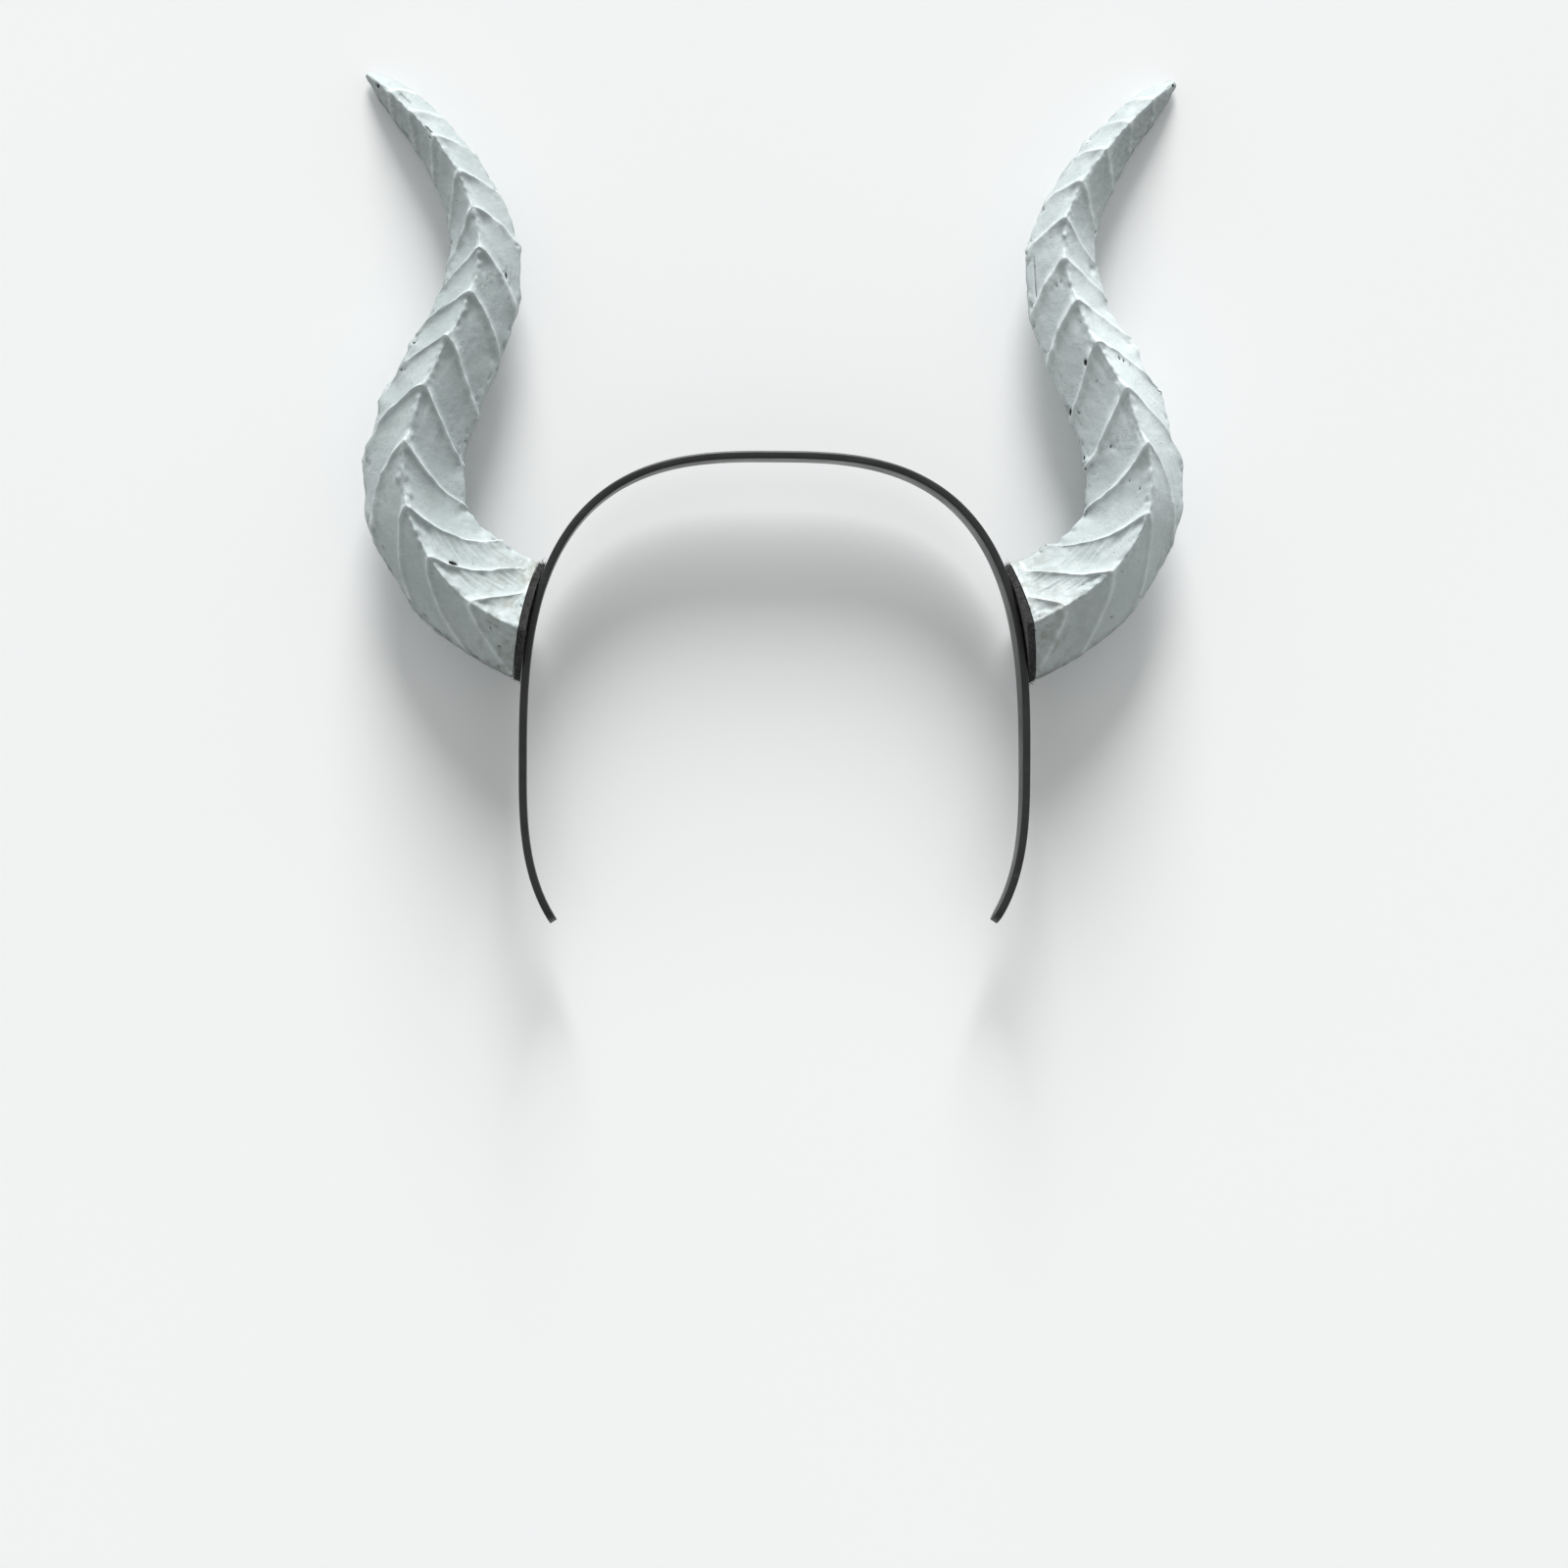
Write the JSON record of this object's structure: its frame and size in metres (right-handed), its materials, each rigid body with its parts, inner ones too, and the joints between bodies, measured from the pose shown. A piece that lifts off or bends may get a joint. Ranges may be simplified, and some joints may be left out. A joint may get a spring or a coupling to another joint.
{
  "type": "horn headband",
  "caption": "Costume headband: a plain hoop carrying a mirrored pair of S-curved horns with raised chevron rings, each on a felt pad.",
  "frame": {"origin": "on the floor under the middle of the whole object's box, with the headband lying on its back", "axes": "+X across the head, to the right as seen from the front; +Y up the head, from the hoop's ends to the horn tips; +Z out of the face, up from the floor"},
  "size_m": [0.2512, 0.2614, 0.0346],
  "materials": {
    "hoop_plastic": "satin black plastic",
    "horn_paint": "pale grey-white brushed paint over moulded foam, satin",
    "pad_felt": "black felt"
  },
  "bodies": {
    "root": {"headband": "hoop_plastic", "horn_left": "horn_paint", "horn_right": "horn_paint", "pad_left": "pad_felt", "pad_right": "pad_felt"}
  },
  "joints": []
}
